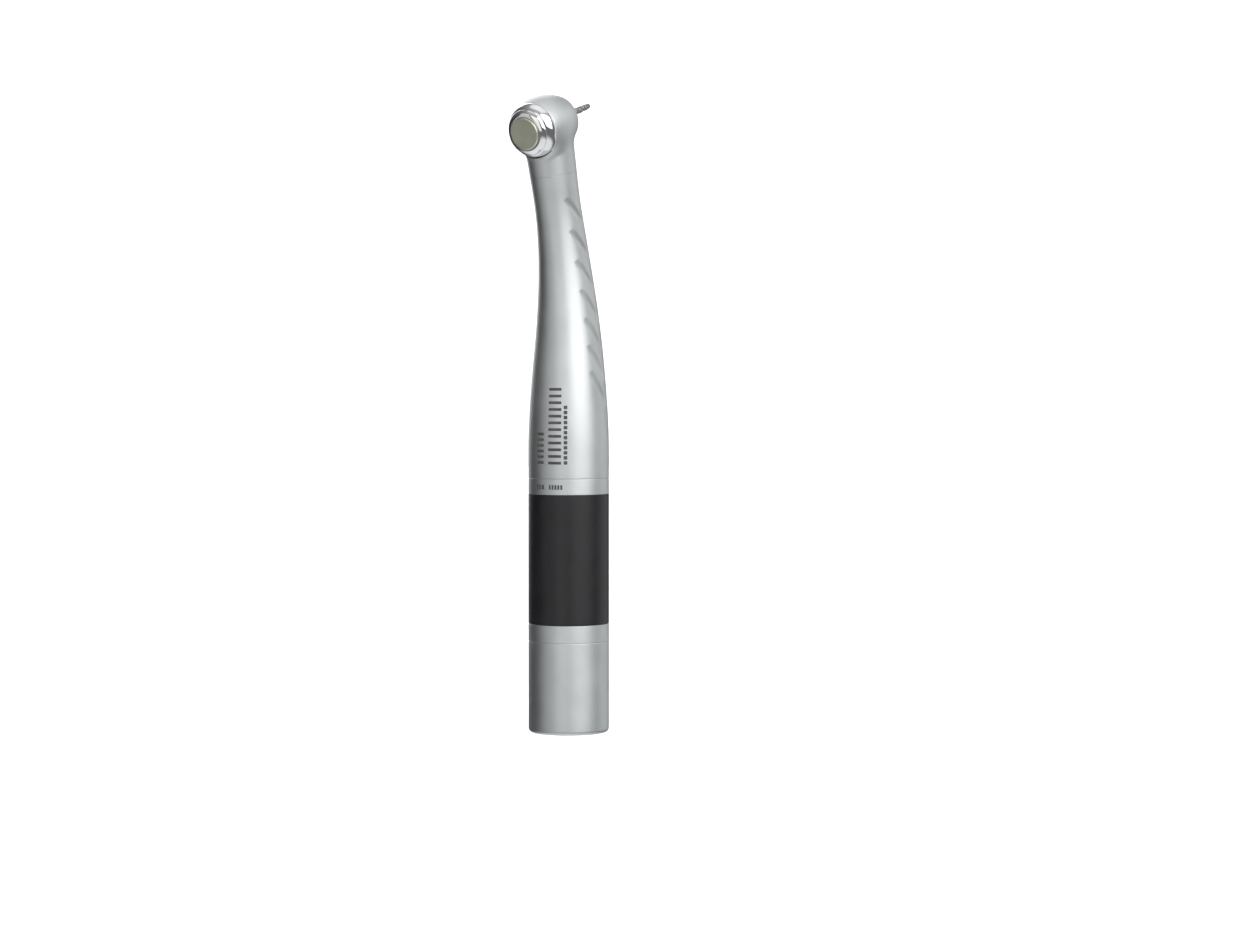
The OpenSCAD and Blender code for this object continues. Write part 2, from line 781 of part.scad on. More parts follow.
// The cutting end: a tapered body with twisted flutes that runs out into a rounded tip
module bur_cutter() {
    body_len = bur_out - cutter_start - tip_len;
    sides = 32;
    body_steps = 20;
    tip_steps = 6;
    tip_end_r = 0.12;
    twist = 150;
    body = [
        for (j = [0 : body_steps]) let (t = j / body_steps)
            flute_ring(mix(shank_r, cutter_tip_r, t), smooth(t * 8), body_len * t, twist * t, sides)
    ];
    tip = [
        for (j = [1 : tip_steps]) let (
            t = j / tip_steps,
            r = tip_end_r + (cutter_tip_r - tip_end_r) * sqrt(1 - t * t),
            turn = twist * (1 + t * tip_len / body_len)
        )
            flute_ring(r, 1 - t, body_len + tip_len * t, turn, sides)
    ];
    color(carbide) at_face() translate([0, 0, cutter_start]) skin(concat(body, tip));
}

rear_sleeve();
rear_collar();
grip_band();
front_collar();
handle_shell();
socket_core();
socket_lock_ring();
manifold_gasket();
manifold();
manifold_nut();
core_o_ring();
drive_air_tube();
water_tube();
chip_air_tube();
light_rod();
light_window();
head_housing();
face_plate();
back_cap();
front_outer_ring();
rear_outer_ring();
front_bearing_shield();
rear_bearing_shield();
front_o_ring();
rear_o_ring();
preload_washer();
push_button();
button_spring();
spindle();
impeller();
front_inner_ring();
rear_inner_ring();
chuck_collet();
plunger_stop_ring();
chuck_plunger();
front_ball_cage();
front_balls();
rear_ball_cage();
rear_balls();
bur_shank();
bur_cutter();
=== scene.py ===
import json
import math

import bpy
import numpy as np
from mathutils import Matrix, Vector


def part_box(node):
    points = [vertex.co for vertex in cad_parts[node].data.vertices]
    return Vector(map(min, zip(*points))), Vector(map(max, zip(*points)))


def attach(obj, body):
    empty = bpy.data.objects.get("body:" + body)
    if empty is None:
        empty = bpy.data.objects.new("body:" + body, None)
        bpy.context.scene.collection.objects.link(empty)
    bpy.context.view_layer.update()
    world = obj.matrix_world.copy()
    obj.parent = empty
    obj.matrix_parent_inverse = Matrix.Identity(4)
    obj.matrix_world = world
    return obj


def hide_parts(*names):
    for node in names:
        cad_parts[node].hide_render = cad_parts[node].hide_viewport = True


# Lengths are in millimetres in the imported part's frame unless a name ends in _M. MM turns them into metres.
MM = 0.001

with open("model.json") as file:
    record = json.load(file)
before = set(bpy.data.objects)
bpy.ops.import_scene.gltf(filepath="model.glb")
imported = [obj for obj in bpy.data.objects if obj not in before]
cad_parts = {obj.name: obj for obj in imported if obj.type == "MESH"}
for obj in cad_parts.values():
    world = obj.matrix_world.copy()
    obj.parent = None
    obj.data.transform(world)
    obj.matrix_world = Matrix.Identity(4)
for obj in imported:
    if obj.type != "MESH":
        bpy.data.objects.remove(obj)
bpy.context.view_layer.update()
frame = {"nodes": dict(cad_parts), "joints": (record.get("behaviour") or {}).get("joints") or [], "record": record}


# ---------------------------------------------------------------------------------------------------
# Camera
# ---------------------------------------------------------------------------------------------------

AZIMUTH = -56.0
ELEVATION = 2.3
DISTANCE = 583.0
LENS = 87.5
AIM_HEIGHT = 50.0
AIM_SIDE = 9.4


def make_camera():
    """The camera looks level past the handle, which stands left of the picture's middle."""
    turn, tilt = math.radians(AZIMUTH), math.radians(ELEVATION)
    back = Vector((math.sin(turn) * math.cos(tilt), -math.cos(turn) * math.cos(tilt), math.sin(tilt)))
    side = Vector((math.cos(turn), math.sin(turn), 0))
    aim = side * AIM_SIDE + Vector((0, 0, AIM_HEIGHT))
    data = bpy.data.cameras.new("camera")
    data.lens = LENS
    data.clip_start, data.clip_end = 0.02, 30
    camera = bpy.data.objects.new("camera", data)
    camera.location = (aim + back * DISTANCE) * MM
    camera.rotation_euler = (-back).to_track_quat("-Z", "Y").to_euler()
    bpy.context.scene.collection.objects.link(camera)
    bpy.context.scene.camera = camera


make_camera()


# ---------------------------------------------------------------------------------------------------
# What the frame says
# ---------------------------------------------------------------------------------------------------

def joint(name):
    return next(j for j in frame["joints"] if j["name"] == name)


def node_points(name):
    """A CAD node's vertices, in millimetres."""
    mesh = frame["nodes"][name].data
    flat = np.zeros(len(mesh.vertices) * 3, np.float32)
    mesh.vertices.foreach_get("co", flat)
    return flat.reshape(-1, 3).astype(float) / MM


def height(name):
    """Lowest and highest point of a CAD node."""
    low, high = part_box(name)
    return low.z / MM, high.z / MM


def handle_radius(name):
    points = node_points(name)
    return float(np.hypot(points[:, 0], points[:, 1]).max())


HEAD_AXIS = np.array(joint("turbine_spin")["axis"], float)
HEAD_MID = np.array(joint("turbine_spin")["pos_m"], float) / MM
ACROSS = np.array([0.0, 1.0, 0.0])
HEAD_DOWN = np.cross(ACROSS, HEAD_AXIS)
FACE_MID = HEAD_MID + HEAD_AXIS * ((node_points("face_plate") - HEAD_MID) @ HEAD_AXIS).max()


def depths(name):
    """How far behind the head's front face a CAD node starts and ends."""
    along = (FACE_MID - node_points(name)) @ HEAD_AXIS
    return float(along.min()), float(along.max())


def head_radius(name):
    points = node_points(name) - FACE_MID
    return float(np.hypot(points @ HEAD_DOWN, points @ ACROSS).max())


HANDLE_R = handle_radius("rear_sleeve")
CORE_R = handle_radius("socket_core")
SLEEVE_TOP = height("rear_sleeve")[1]
BAND_BOTTOM, BAND_TOP = height("grip_band")
SHELL_BOTTOM = height("handle_shell")[0]
CORE_TOP = height("socket_core")[1]

# The centreline, as in the CAD: straight, an arc, and straight again to the head's axis
LEAN = math.radians(13.5)
BEND_START = 72.8
BEND_R = 120.0
BEND_LEN = BEND_R * LEAN
NECK_UP = np.array([-math.sin(LEAN), 0.0, math.cos(LEAN)])
NECK_AHEAD = np.array([math.cos(LEAN), 0.0, math.sin(LEAN)])
BEND_END = np.array([-BEND_R * (1 - math.cos(LEAN)), 0.0, BEND_START + BEND_R * math.sin(LEAN)])
AXIS_S = BEND_START + BEND_LEN + float((HEAD_MID - BEND_END) @ NECK_UP)

# The taper's section, half sizes in and across the plane of the bend
NECK_JOINT = 9.5
NECK_HALF = (4.9, 4.15)
NECK_FLARE = 0.35
FLARE_START = 101.0
TAPER = (54.0, 105.0)
JOINT_S = AXIS_S - NECK_JOINT

# The flat under the head: drops below the head's axis, how far ahead of the neck's axis it lies, and the
# width of the round inside corner at its top
CHIN_DROP = 4.7
CHIN_COVE = 1.2
WINDOW_DROP = 8.0
TONGUE_DROP = 14.4
WINDOW_AHEAD = 3.55
TONGUE_SLOPE = (NECK_HALF[0] - WINDOW_AHEAD) / (TONGUE_DROP - WINDOW_DROP)
WINDOW_R = 0.65
WINDOW_MID = 6.75

# The head's barrel
FACE_R = 4.55
HEAD_R = 5.75
WIDEST = 5.8
NOSE_EDGE = 0.35
BARREL_RUN = WIDEST - NOSE_EDGE
BARREL_BOW = ((HEAD_R - FACE_R) ** 2 + BARREL_RUN ** 2) / (2 * (HEAD_R - FACE_R))
CAP_START = 9.2
CAP_EDGE = 0.04
PLATE_R = head_radius("face_plate")
PLATE_T = depths("face_plate")[1]
BUTTON_FACE = depths("push_button")[1]
BUTTON_R = 3.1
CAP_BACK = depths("back_cap")[1]
CAP_FRONT = depths("back_cap")[0]


def ease(t):
    t = np.clip(t, 0, 1)
    return t * t * (3 - 2 * t)


def lean_at(s):
    return np.clip((s - BEND_START) / BEND_R, 0, LEAN)


def spine(s):
    """Centreline points at distances s, with the direction that points ahead of the centreline there."""
    a = lean_at(s)
    past = np.maximum(0, s - BEND_START - BEND_LEN)
    x = -BEND_R * (1 - np.cos(a)) - past * np.sin(a)
    z = np.minimum(s, BEND_START) + BEND_R * np.sin(a) + past * np.cos(a)
    zero = np.zeros_like(x)
    return np.stack([x, zero, z], -1), np.stack([np.cos(a), zero, np.sin(a)], -1)


def half_sizes(s):
    t = ease((s - TAPER[0]) / (TAPER[1] - TAPER[0]))
    flare = NECK_FLARE * ease((s - FLARE_START) / (AXIS_S - FLARE_START))
    return HANDLE_R + (NECK_HALF[0] - HANDLE_R) * t + flare, HANDLE_R + (NECK_HALF[1] - HANDLE_R) * t + flare


def flat_ahead(drop):
    """How far ahead of the neck's axis the flat lies at a drop below the head's axis."""
    return WINDOW_AHEAD + np.maximum(0, drop - WINDOW_DROP) * TONGUE_SLOPE


# ---------------------------------------------------------------------------------------------------
# Mesh helpers
# ---------------------------------------------------------------------------------------------------

def smooth_min(a, b, k):
    """The smaller of two distances, with a round blend k wide where they meet."""
    h = np.maximum(k - np.abs(a - b), 0) / k
    return np.minimum(a, b) - h * h * k / 4


def smooth_max(a, b, k):
    return -smooth_min(-a, -b, k)


def weighted_normals(points, mesh):
    """Vertex normals weighted by face area, so that flats stay flat beside their rounded edges."""
    count = len(mesh.polygons)
    normals = np.zeros(count * 3, np.float32)
    areas = np.zeros(count, np.float32)
    starts = np.zeros(count, np.int32)
    totals = np.zeros(count, np.int32)
    corners = np.zeros(len(mesh.loops), np.int32)
    mesh.polygons.foreach_get("normal", normals)
    mesh.polygons.foreach_get("area", areas)
    mesh.polygons.foreach_get("loop_start", starts)
    mesh.polygons.foreach_get("loop_total", totals)
    mesh.loops.foreach_get("vertex_index", corners)
    weight = np.repeat(normals.reshape(-1, 3) * areas[:, None] * 1e6, totals, axis=0)
    total = np.zeros((len(points), 3))
    np.add.at(total, corners, weight)
    return total / np.maximum(np.linalg.norm(total, axis=1), 1e-12)[:, None]


def piece(name, points, faces, body, stands_for, material, normals=None):
    """A named mesh piece from points in millimetres. It rides on a body and stands for one CAD node."""
    points = np.asarray(points, float)
    mesh = bpy.data.meshes.new(name)
    mesh.from_pydata((points * MM).tolist(), [], faces if isinstance(faces, list) else faces.tolist())
    mesh.update()
    mesh.shade_smooth()
    if normals is None:
        normals = weighted_normals(points, mesh)
    mesh.normals_split_custom_set_from_vertices(normals.tolist())
    made = bpy.data.objects.new(name, mesh)
    bpy.context.scene.collection.objects.link(made)
    mesh.materials.append(material)
    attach(made, body)
    if stands_for:
        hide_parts(stands_for)
    return made


def rounded(corners, steps=5):
    """A closed outline with its corners rounded. Each corner is (x, y, radius)."""
    outline = []
    count = len(corners)
    for i, (x, y, radius) in enumerate(corners):
        here = np.array([x, y])
        if radius <= 0:
            outline.append(here)
            continue
        before = np.array(corners[i - 1][:2]) - here
        after = np.array(corners[(i + 1) % count][:2]) - here
        before, after = before / np.linalg.norm(before), after / np.linalg.norm(after)
        half = math.acos(max(-1.0, min(1.0, float(before @ after)))) / 2
        reach = radius / math.tan(half)
        bisector = (before + after) / np.linalg.norm(before + after)
        centre = here + bisector * radius / math.sin(half)
        start, end = here + before * reach - centre, here + after * reach - centre
        turn = math.atan2(start[0] * end[1] - start[1] * end[0], float(start @ end))
        for k in range(steps + 1):
            a = turn * k / steps
            c, s = math.cos(a), math.sin(a)
            outline.append(centre + np.array([c * start[0] - s * start[1], s * start[0] + c * start[1]]))
    return outline


def revolve(outline, origin, axis, first, segments=192):
    """Points and faces of a closed outline of (radius, distance along the axis), turned about the axis."""
    second = np.cross(axis, first)
    points, rows = [], []
    angles = np.arange(segments) * 2 * math.pi / segments
    spokes = np.outer(np.cos(angles), first) + np.outer(np.sin(angles), second)
    for radius, along in outline:
        if radius < 1e-6:
            rows.append([len(points)] * segments)
            points.append(origin + axis * along)
            continue
        start = len(points)
        rows.append(list(range(start, start + segments)))
        points.extend(origin + axis * along + radius * spokes)
    faces = []
    for j, row in enumerate(rows):
        following = rows[(j + 1) % len(rows)]
        for i in range(segments):
            k = (i + 1) % segments
            corners = [row[i], row[k], following[k], following[i]]
            kept = [c for n, c in enumerate(corners) if c != corners[n - 1]]
            if len(set(kept)) > 2:
                faces.append(kept)
    return np.array(points), faces


def drilled(points, faces, holes):
    """The same closed surface with round holes cut through it. A hole is (start, end, radius, side)."""
    objects = []
    cutter_points, cutter_faces = [], []
    for start, end, radius, side in holes:
        way = end - start
        span = float(np.linalg.norm(way))
        ring, walls = revolve([(0, 0), (radius, 0), (radius, span), (0, span)], start, way / span, side, 24)
        cutter_faces += [[c + len(cutter_points) for c in face] for face in walls]
        cutter_points += ring.tolist()
    for name, verts, polygons in (("blank", points, faces), ("drill", cutter_points, cutter_faces)):
        mesh = bpy.data.meshes.new(name)
        mesh.from_pydata([tuple(p) for p in verts], [], polygons)
        made = bpy.data.objects.new(name, mesh)
        bpy.context.scene.collection.objects.link(made)
        objects.append(made)
    blank, drill = objects
    cut = blank.modifiers.new("holes", "BOOLEAN")
    cut.object, cut.operation, cut.solver = drill, "DIFFERENCE", "EXACT"
    result = bpy.data.meshes.new_from_object(blank.evaluated_get(bpy.context.evaluated_depsgraph_get()))
    new_points = np.array([v.co[:] for v in result.vertices], float)
    new_faces = [list(face.vertices) for face in result.polygons]
    for made in objects:
        mesh = made.data
        bpy.data.objects.remove(made)
        bpy.data.meshes.remove(mesh)
    bpy.data.meshes.remove(result)
    return new_points, new_faces


def turned(name, corners, body, slot, material, origin, axis, first, stands_for=None, segments=192, steps=5):
    """A lathe-turned piece. Corners go round the section anticlockwise, radius to the right and axis up."""
    points, faces = revolve(rounded(corners, steps), origin, axis, first, segments)
    return piece(name, points, faces, body, stands_for or name, material)


def on_handle(name, corners, slot, material, **options):
    ahead, up = np.array([1.0, 0.0, 0.0]), np.array([0.0, 0.0, 1.0])
    return turned(name, corners, "handle", slot, material, np.zeros(3), up, ahead, **options)


def in_head(name, corners, body, slot, material, **options):
    """As turned, with heights counted in front of the head's face, so that depths are negative."""
    return turned(name, corners, body, slot, material, FACE_MID, HEAD_AXIS, HEAD_DOWN, **options)


def surface_nets(field, low, step):
    """Points and quads where a sampled field is zero, with one point in each cell that it crosses."""
    inside = field < 0
    offsets = np.array([(i, j, k) for i in (0, 1) for j in (0, 1) for k in (0, 1)])
    size = np.array(field.shape) - 1
    votes = sum(inside[i:i + size[0], j:j + size[1], k:k + size[2]].astype(np.int8) for i, j, k in offsets)
    cells = np.argwhere((votes > 0) & (votes < 8))
    index = np.full(size, -1, np.int64)
    index[tuple(cells.T)] = np.arange(len(cells))
    values = np.stack([field[tuple((cells + o).T)] for o in offsets], 1)
    total, count = np.zeros((len(cells), 3)), np.zeros(len(cells))
    for a in range(8):
        for b in range(a + 1, 8):
            if np.abs(offsets[a] - offsets[b]).sum() != 1:
                continue
            crossed = (values[:, a] < 0) != (values[:, b] < 0)
            t = values[:, a] / np.where(crossed, values[:, a] - values[:, b], 1)
            total += np.where(crossed[:, None], offsets[a] + t[:, None] * (offsets[b] - offsets[a]), 0)
            count += crossed
    points = low + step * (cells + total / count[:, None])
    quads = []
    for axis in range(3):
        u, v = [a for a in range(3) if a != axis]
        ahead = np.zeros(3, int)
        ahead[axis] = 1
        limit = [slice(1, n) for n in size]
        limit[axis] = slice(0, size[axis])
        start = inside[tuple(limit)]
        limit[axis] = slice(1, size[axis] + 1)
        end = inside[tuple(limit)]
        at = np.argwhere(start != end)
        rising = start[tuple(at.T)]
        at = at + np.array([0 if a == axis else 1 for a in range(3)])
        back_u, back_v = np.eye(3, dtype=int)[u], np.eye(3, dtype=int)[v]
        ring = [at - back_u - back_v, at - back_v, at, at - back_u]
        found = np.stack([index[tuple(c.T)] for c in ring], 1)
        flip = rising if axis != 1 else ~rising
        quads.append(np.where(flip[:, None], found, found[:, ::-1]))
    return points, np.concatenate(quads)


# ---------------------------------------------------------------------------------------------------
# Materials
# ---------------------------------------------------------------------------------------------------

def start_material(name):
    made = bpy.data.materials.new(name)
    made.use_nodes = True
    return made, made.node_tree, made.node_tree.nodes["Principled BSDF"]


def add_node(tree, kind, inputs=(), **settings):
    """A shader node with its settings made. Inputs are (socket, value or output to link)."""
    made = tree.nodes.new(kind)
    for key, value in settings.items():
        setattr(made, key, value)
    for key, value in inputs:
        if isinstance(value, bpy.types.NodeSocket):
            tree.links.new(value, made.inputs[key])
        else:
            made.inputs[key].default_value = value
    return made


def noise(tree, where, scale, detail=4.0):
    made = add_node(tree, "ShaderNodeTexNoise", [("Vector", where), ("Scale", scale), ("Detail", detail)])
    return made.outputs["Fac"]


def remap(tree, value, low, high, start=0.3, end=0.7):
    made = add_node(
        tree, "ShaderNodeMapRange",
        [("Value", value), ("From Min", start), ("From Max", end), ("To Min", low), ("To Max", high)],
    )
    return made.outputs["Result"]


def colours(tree, value, dark, light):
    made = add_node(tree, "ShaderNodeValToRGB", [("Fac", value)])
    made.color_ramp.elements[0].position, made.color_ramp.elements[1].position = 0.3, 0.7
    made.color_ramp.elements[0].color = (*dark, 1)
    made.color_ramp.elements[1].color = (*light, 1)
    return made.outputs["Color"]


def bump(tree, heights, distance):
    made = add_node(tree, "ShaderNodeBump", [("Height", heights), ("Distance", distance)])
    return made.outputs["Normal"]


def stretched(tree, factors):
    """Object coordinates, squeezed by a factor along each axis, so that noise runs in streaks."""
    place = add_node(tree, "ShaderNodeTexCoord").outputs["Object"]
    made = add_node(tree, "ShaderNodeMapping", [("Vector", place), ("Scale", factors)])
    return made.outputs["Vector"]


def metal(name, dark, light, rough, grain=9000.0, grain_depth=2e-6, streaks=(1, 1, 1), cloud=180.0):
    """Bare or plated metal: cloudy colour and roughness, and a fine grain that may run in streaks."""
    made, tree, shader = start_material(name)
    place = stretched(tree, (1, 1, 1))
    clouds = noise(tree, place, cloud)
    fine = noise(tree, stretched(tree, streaks), grain, 3.0)
    shader.inputs["Metallic"].default_value = 1.0
    tree.links.new(colours(tree, clouds, dark, light), shader.inputs["Base Color"])
    mixed = add_node(tree, "ShaderNodeMix", [("Factor", 0.5), (2, clouds), (3, fine)], data_type="FLOAT")
    tree.links.new(remap(tree, mixed.outputs[0], *rough), shader.inputs["Roughness"])
    tree.links.new(bump(tree, fine, grain_depth), shader.inputs["Normal"])
    return made


def dull(name, dark, light, rough, grain=4000.0, grain_depth=5e-6, cloud=300.0):
    """Rubber, resin or a dark coating."""
    made, tree, shader = start_material(name)
    place = stretched(tree, (1, 1, 1))
    clouds = noise(tree, place, cloud)
    fine = noise(tree, place, grain, 3.0)
    tree.links.new(colours(tree, clouds, dark, light), shader.inputs["Base Color"])
    tree.links.new(remap(tree, clouds, *rough), shader.inputs["Roughness"])
    tree.links.new(bump(tree, fine, grain_depth), shader.inputs["Normal"])
    return made


def vector_math(tree, operation, *inputs):
    return add_node(tree, "ShaderNodeVectorMath", inputs, operation=operation).outputs


def lathe_marks(tree, origin, axis, pitch):
    """Fine rings about an axis, as a turning tool leaves them on a flat face."""
    place = add_node(tree, "ShaderNodeTexCoord").outputs["Object"]
    shift = vector_math(tree, "SUBTRACT", (0, place), (1, tuple(origin * MM)))[0]
    along = vector_math(tree, "DOT_PRODUCT", (0, shift), (1, tuple(axis)))["Value"]
    up = vector_math(tree, "SCALE", (0, tuple(axis)), ("Scale", along))[0]
    flat = vector_math(tree, "SUBTRACT", (0, shift), (1, up))[0]
    radius = vector_math(tree, "LENGTH", (0, flat))["Value"]
    rings = add_node(tree, "ShaderNodeMath", [(0, radius), (1, 1 / (pitch * MM))], operation="MULTIPLY")
    made = add_node(
        tree, "ShaderNodeTexNoise", [("W", rings.outputs[0]), ("Scale", 1.0), ("Detail", 2.0)],
        noise_dimensions="1D",
    )
    return made.outputs["Fac"]


def turned_metal(name, dark, light, rough, origin, axis, pitch=0.08, depth=1.5e-6):
    made, tree, shader = start_material(name)
    clouds = noise(tree, stretched(tree, (1, 1, 1)), 250.0)
    rings = lathe_marks(tree, origin, axis, pitch)
    shader.inputs["Metallic"].default_value = 1.0
    tree.links.new(colours(tree, clouds, dark, light), shader.inputs["Base Color"])
    mixed = add_node(tree, "ShaderNodeMix", [("Factor", 0.6), (2, clouds), (3, rings)], data_type="FLOAT")
    tree.links.new(remap(tree, mixed.outputs[0], *rough), shader.inputs["Roughness"])
    tree.links.new(bump(tree, rings, depth), shader.inputs["Normal"])
    return made


def glass(name):
    made, tree, shader = start_material(name)
    clouds = noise(tree, stretched(tree, (1, 1, 1)), 500.0)
    tree.links.new(colours(tree, clouds, (0.20, 0.23, 0.22), (0.30, 0.34, 0.33)), shader.inputs["Base Color"])
    tree.links.new(remap(tree, clouds, 0.05, 0.12), shader.inputs["Roughness"])
    shader.inputs["IOR"].default_value = 1.5
    shader.inputs["Coat Weight"].default_value = 0.6
    shader.inputs["Coat Roughness"].default_value = 0.05
    return made


def print_ink():
    return dull("print_ink", (0.03, 0.03, 0.032), (0.05, 0.05, 0.052), (0.4, 0.55), grain_depth=1e-6)


RING_STREAKS = (1, 1, 12)
MATERIALS = {
    "satin_chrome": metal(
        "satin_chrome", (0.69, 0.715, 0.72), (0.75, 0.775, 0.78), (0.45, 0.52),
        grain_depth=5e-7, streaks=RING_STREAKS),
    "polished_chrome": metal(
        "polished_chrome", (0.84, 0.85, 0.85), (0.90, 0.905, 0.90), (0.06, 0.12), grain_depth=4e-7),
    "button_metal": turned_metal(
        "button_metal", (0.74, 0.75, 0.60), (0.84, 0.85, 0.69), (0.34, 0.46), FACE_MID, HEAD_AXIS),
    "plate_metal": turned_metal(
        "plate_metal", (0.64, 0.67, 0.62), (0.71, 0.74, 0.69), (0.30, 0.42), FACE_MID, HEAD_AXIS,
        pitch=0.14, depth=8e-7),
    "black_band": dull(
        "black_band", (0.004, 0.004, 0.005), (0.006, 0.006, 0.008), (0.38, 0.44), grain_depth=1e-6),
    "inner_steel": metal(
        "inner_steel", (0.52, 0.53, 0.54), (0.62, 0.63, 0.64), (0.25, 0.38), streaks=RING_STREAKS),
    "bearing_steel": metal(
        "bearing_steel", (0.66, 0.67, 0.68), (0.74, 0.75, 0.76), (0.20, 0.30), grain_depth=5e-7),
    "spring_steel": metal("spring_steel", (0.42, 0.43, 0.45), (0.54, 0.55, 0.57), (0.25, 0.40)),
    "brass": metal("brass", (0.62, 0.47, 0.20), (0.74, 0.58, 0.28), (0.22, 0.36)),
    "seal_rubber": dull("seal_rubber", (0.012, 0.012, 0.012), (0.03, 0.03, 0.03), (0.5, 0.7)),
    "light_glass": glass("light_glass"),
    "cage_resin": dull("cage_resin", (0.20, 0.10, 0.04), (0.30, 0.16, 0.07), (0.45, 0.6)),
    "bur_steel": metal("bur_steel", (0.42, 0.42, 0.41), (0.56, 0.56, 0.55), (0.16, 0.28)),
    "bur_carbide": metal(
        "bur_carbide", (0.18, 0.18, 0.175), (0.58, 0.58, 0.56), (0.16, 0.28), grain=20000.0, cloud=1500.0),
}


def paint_frame():
    """Every CAD node takes the material of its slot, also those that nothing replaces."""
    for row in frame["record"]["subparts"]:
        node = frame["nodes"][row["node"]]
        if not node.data.materials:
            node.data.materials.append(None)
        for place in node.material_slots:
            place.material = MATERIALS[row["material_slot"]]


paint_frame()


# ---------------------------------------------------------------------------------------------------
# Handle
# ---------------------------------------------------------------------------------------------------

EDGE = 0.12
BORE_GAP = 0.01


def make_sleeves():
    metal_slot, wall = "satin_chrome", CORE_R + BORE_GAP
    on_handle(
        "rear_sleeve",
        [(wall, 0, 0), (HANDLE_R, 0, 0.8), (HANDLE_R, SLEEVE_TOP, EDGE), (wall, SLEEVE_TOP, 0)],
        metal_slot, MATERIALS[metal_slot], steps=8,
    )
    rings = [
        ("rear_collar", SLEEVE_TOP, BAND_BOTTOM, metal_slot),
        ("grip_band", BAND_BOTTOM, BAND_TOP, "black_band"),
        ("front_collar", BAND_TOP, SHELL_BOTTOM, metal_slot),
    ]
    for name, low, high, slot in rings:
        on_handle(
            name, [(wall, low, 0), (HANDLE_R, low, EDGE), (HANDLE_R, high, EDGE), (wall, high, 0)],
            slot, MATERIALS[slot],
        )


MOUTH_R = 6.0
MOUTH_TOP = 12.3
PILOT_R = 5.0
LOCK_GROOVE = (19.6, 20.5, 5.5)
SOCKET_END = 29.0
CHAMBER_R = 5.6


def make_core():
    bevel = 0.3
    on_handle(
        "socket_core",
        [
            (MOUTH_R + bevel, 0, 0.05), (CORE_R, 0, 0.05), (CORE_R, CORE_TOP, 0.1),
            (CHAMBER_R, CORE_TOP, 0.1), (CHAMBER_R, SOCKET_END, 0), (PILOT_R, SOCKET_END, 0.08),
            (PILOT_R, LOCK_GROOVE[1], 0.05), (LOCK_GROOVE[2], LOCK_GROOVE[1], 0),
            (LOCK_GROOVE[2], LOCK_GROOVE[0], 0), (PILOT_R, LOCK_GROOVE[0], 0.05),
            (PILOT_R, MOUTH_TOP, 0.15), (MOUTH_R, MOUTH_TOP, 0.08), (MOUTH_R, bevel, 0.1),
        ],
        "inner_steel", MATERIALS["inner_steel"],
    )


GROOVE_COUNT = 7
GROOVE_START = 66.8
GROOVE_PITCH = 5.0
GROOVE_GROWTH = 0.22
GROOVE_DEPTH = 0.34
GROOVE_HALF_WIDTH = 0.75
GROOVE_HALF_LENGTH = 3.9
GROOVE_SLANT = math.radians(58)


def groove_depth(s, angle, radius):
    """How deep the slanted grip grooves are cut at a place on the shell."""
    depth = np.zeros(np.broadcast(s, angle).shape)
    for side in (-1, 1):
        around = (angle - side * math.pi / 2 + math.pi) % (2 * math.pi) - math.pi
        ahead = -side * around * radius
        for i in range(GROOVE_COUNT):
            up = s - (GROOVE_START + GROOVE_PITCH * i + GROOVE_GROWTH / 2 * i * i)
            along = ahead * math.cos(GROOVE_SLANT) - up * math.sin(GROOVE_SLANT)
            across = ahead * math.sin(GROOVE_SLANT) + up * math.cos(GROOVE_SLANT)
            scoop = np.clip(1 - (across / GROOVE_HALF_WIDTH) ** 2, 0, 1) ** 1.2
            fade = np.clip(1 - (along / GROOVE_HALF_LENGTH) ** 2, 0, 1)
            depth = np.maximum(depth, GROOVE_DEPTH * scoop * fade)
    return depth


SHELL_WALL = 0.95
NECK_EDGE = 0.03


def shell_rows(s, angles, inset):
    """Rows of points round the shell at distances s, set in from its outer surface."""
    centre, ahead = spine(s)
    in_plane, across = half_sizes(s)
    x = (in_plane - inset)[:, None] * np.cos(angles)
    y = (across - inset)[:, None] * np.sin(angles)
    return centre, ahead, x, y


